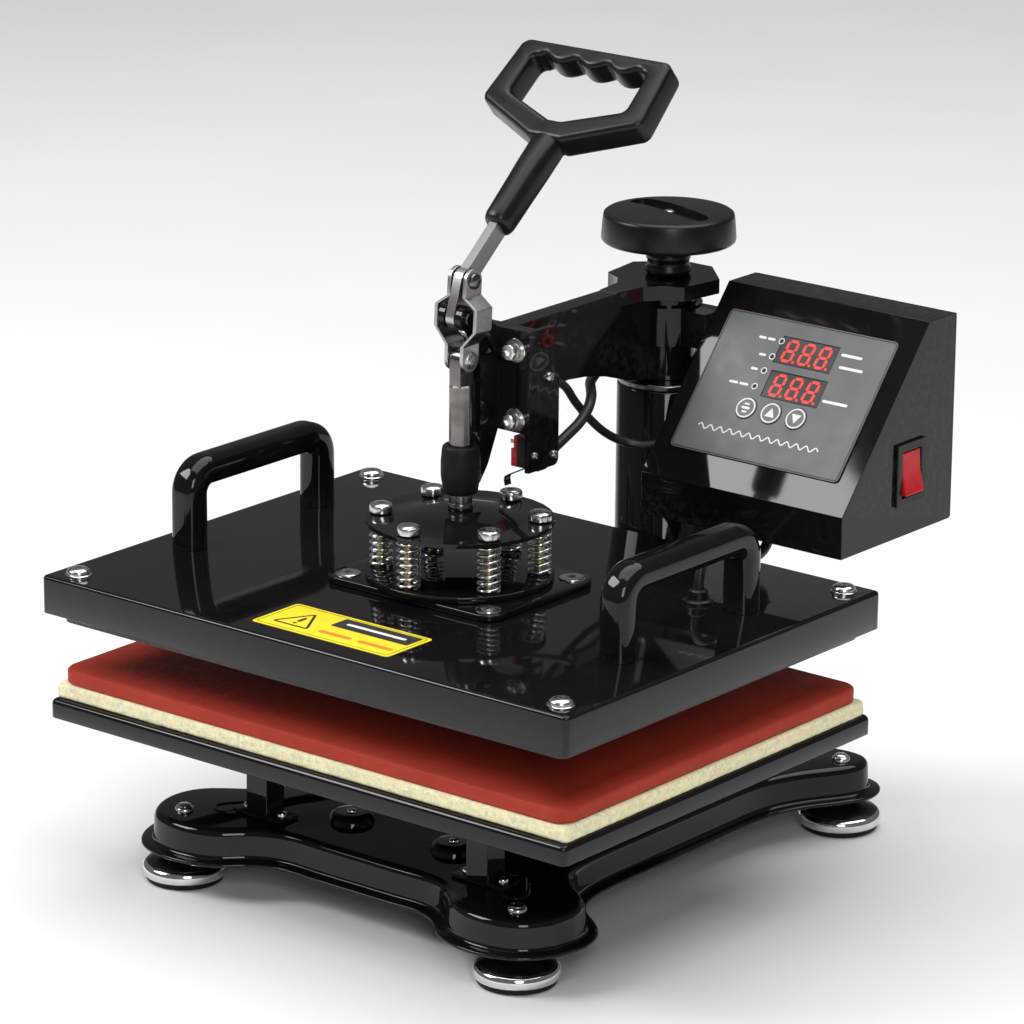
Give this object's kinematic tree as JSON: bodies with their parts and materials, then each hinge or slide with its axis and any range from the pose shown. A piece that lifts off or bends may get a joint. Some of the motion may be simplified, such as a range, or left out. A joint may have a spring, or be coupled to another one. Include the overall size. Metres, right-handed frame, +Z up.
{
  "type": "heat press",
  "caption": "Swing-away flat heat press: sprung hot plate over a padded platen on a footed base, worked by a toggle handle, with a height knob and a control box.",
  "frame": {"origin": "bottom centre of the bounding box, on the bench under the feet", "axes": "+Z up, +X to the operator's right, -Y towards the operator at the front"},
  "size_m": [0.394, 0.398, 0.4839],
  "materials": {
    "black_paint": "gloss",
    "chrome": "mirror",
    "brass": "satin",
    "steel": "brushed",
    "zinc": "bright zinc",
    "aluminium": "satin",
    "wool": "matte",
    "cream_foam": "porous",
    "red_silicone": "porous",
    "black_plastic": "satin",
    "red_plastic": "gloss",
    "panel_grey": "satin",
    "display": "gloss",
    "button_grey": "satin",
    "cable": "satin",
    "board": "satin"
  },
  "bodies": {
    "base": {"base": "black_paint", "foot_front_left": "chrome", "foot_front_right": "chrome", "foot_rear_left": "chrome", "foot_rear_right": "chrome", "post": "black_paint", "lift_nut": "brass", "leg_left": "black_paint", "leg_right": "black_paint", "rear_support": "black_paint", "lower_platen": "black_paint", "foam_layer": "cream_foam", "silicone_pad": "red_silicone"},
    "carrier": {"pivot_shaft": "steel"},
    "knob": {"lift_screw": "steel", "knob": "black_plastic"},
    "arm": {"arm": "black_paint", "bracket": "black_paint", "guide_sleeve": "black_plastic", "pivot_pin": "steel", "limit_switch": "red_plastic", "control_box": "black_paint", "box_back": "black_paint", "box_strap": "black_paint", "power_inlet": "black_plastic", "circuit_board": "board", "panel": "panel_grey", "display_temperature": "display", "display_time": "display", "rocker_frame": "black_plastic", "arm_lead": "cable", "switch_lead": "cable", "heater_lead": "cable"},
    "switch_lever": {"switch_lever": "steel"},
    "head": {"housing": "black_paint", "insulation": "wool", "heat_plate": "aluminium", "mount_plate": "black_paint", "lower_disc": "black_paint", "spring_1": "zinc", "spring_2": "zinc", "spring_3": "zinc", "spring_4": "zinc", "spring_5": "zinc", "spring_6": "zinc", "grab_handle_left": "black_paint", "grab_handle_right": "black_paint"},
    "plunger": {"upper_disc": "black_paint", "plunger": "steel"},
    "link": {"link_left": "zinc", "link_right": "zinc", "link_pin": "steel"},
    "handle": {"lever": "zinc", "grip": "black_plastic"},
    "button_set": {"button_set": "button_grey"},
    "button_up": {"button_up": "button_grey"},
    "button_down": {"button_down": "button_grey"},
    "rocker": {"rocker": "red_plastic"}
  },
  "joints": [
    {"name": "arm_lift", "type": "slide", "parent": "base", "child": "carrier", "axis": [0, 0, 1], "range_m": [0, 0.012]},
    {"name": "knob_turn", "type": "hinge", "parent": "carrier", "child": "knob", "pos_m": [0, 0.146, 0.35], "axis": [0, 0, 1], "range_deg": [0, 2160]},
    {"name": "arm_swing", "type": "hinge", "parent": "carrier", "child": "arm", "pos_m": [0, 0.146, 0.3], "axis": [0, 0, 1], "continuous": true},
    {"name": "handle_turn", "type": "hinge", "parent": "arm", "child": "handle", "pos_m": [0, -0.055, 0.348], "axis": [1, 0, 0], "range_deg": [0, 170]},
    {"name": "link_swing", "type": "hinge", "parent": "handle", "child": "link", "pos_m": [0, -0.0482, 0.36892], "axis": [1, 0, 0], "range_deg": [-150, 0]},
    {"name": "plunger_slide", "type": "slide", "parent": "arm", "child": "plunger", "axis": [0, 0, -1], "range_m": [0, 0.0385], "deforming": ["spring_1", "spring_2", "spring_3", "spring_4", "spring_5", "spring_6"]},
    {"name": "head_slide", "type": "slide", "parent": "arm", "child": "head", "axis": [0, 0, -1], "range_m": [0, 0.0286], "deforming": ["heater_lead"]},
    {"name": "switch_flex", "type": "hinge", "parent": "arm", "child": "switch_lever", "pos_m": [0.0106, -0.005, 0.247], "axis": [0, 1, 0], "range_deg": [0, 10], "stiffness_Nm_per_rad": 0.02},
    {"name": "button_set_press", "type": "slide", "parent": "arm", "child": "button_set", "axis": [0, 0.7688, -0.6394], "range_m": [0, 0.0008], "stiffness_N_per_m": 600},
    {"name": "button_up_press", "type": "slide", "parent": "arm", "child": "button_up", "axis": [0, 0.7688, -0.6394], "range_m": [0, 0.0008], "stiffness_N_per_m": 600},
    {"name": "button_down_press", "type": "slide", "parent": "arm", "child": "button_down", "axis": [0, 0.7688, -0.6394], "range_m": [0, 0.0008], "stiffness_N_per_m": 600},
    {"name": "rocker_turn", "type": "hinge", "parent": "arm", "child": "rocker", "pos_m": [0.183, 0.141, 0.246], "axis": [0, 1, 0], "range_deg": [0, 16]}
  ],
  "couplings": [
    {"joint": "arm_lift", "follows": "knob_turn", "m_per_rad": 0.000318},
    {"joint": "link_swing", "follows": "handle_turn", "ratio": -0.87466},
    {"joint": "plunger_slide", "follows": "handle_turn", "m_per_rad": 0.012868},
    {"joint": "head_slide", "follows": "handle_turn", "m_per_rad": 0.0096055}
  ]
}
